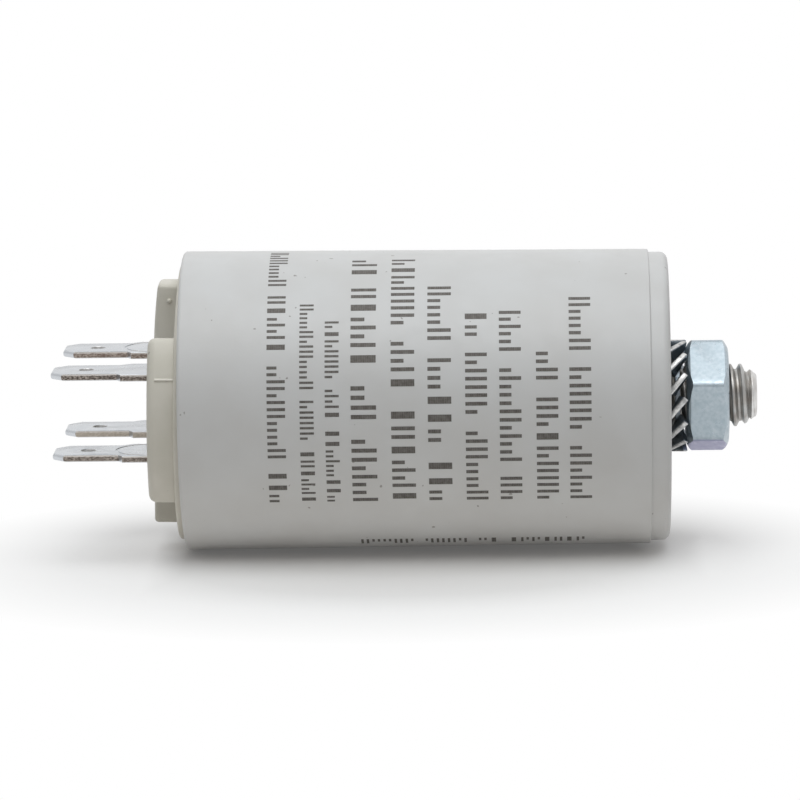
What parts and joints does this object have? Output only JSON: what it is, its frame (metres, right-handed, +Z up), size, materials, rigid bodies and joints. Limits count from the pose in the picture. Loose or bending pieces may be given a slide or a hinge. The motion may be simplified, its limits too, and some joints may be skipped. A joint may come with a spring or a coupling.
{
  "type": "motor run capacitor",
  "caption": "Round motor run capacitor in a moulded can, with paired blade terminals on its lid and a threaded mounting stud with toothed washer and nut on its base.",
  "frame": {"origin": "centre of the can's base, on the can's axis, in the plane that meets the panel", "axes": "+X along the axis out of the base, the way the stud points; the terminals point to -X; +Z up as the can lies on its side, so the blades lie level"},
  "size_m": [0.0819, 0.035, 0.035],
  "materials": {
    "can_plastic": "off-white moulded plastic, semi-matt",
    "lid_plastic": "ivory moulded plastic, semi-matt",
    "tinned_brass": "tin plate, bare yellow metal on the cut edges",
    "stud_metal": "dull rolled thread",
    "spring_steel": "dark plated spring steel with bright edges",
    "zinc_plated_steel": "blue-white zinc plate",
    "metallised_film": "wound metallised film",
    "core_plastic": "plain",
    "zinc_spray": "rough sprayed zinc",
    "pressboard": "pressed fibre board",
    "copper_wire": "drawn copper wire",
    "sleeve_plastic": "plain",
    "solder": "set solder",
    "resin": "cast resin"
  },
  "bodies": {
    "root": {"can": "can_plastic", "lid": "lid_plastic", "terminal_upper": "tinned_brass", "terminal_lower": "tinned_brass", "mounting_stud": "stud_metal", "lock_washer": "spring_steel", "hex_nut": "zinc_plated_steel", "winding": "metallised_film", "core_tube": "core_plastic", "end_spray_lid_side": "zinc_spray", "end_spray_base_side": "zinc_spray", "insulating_disc": "pressboard", "lead_upper": "copper_wire", "lead_lower": "copper_wire", "lead_sleeve": "sleeve_plastic", "solder_joints": "solder", "potting_resin": "resin"}
  },
  "joints": []
}
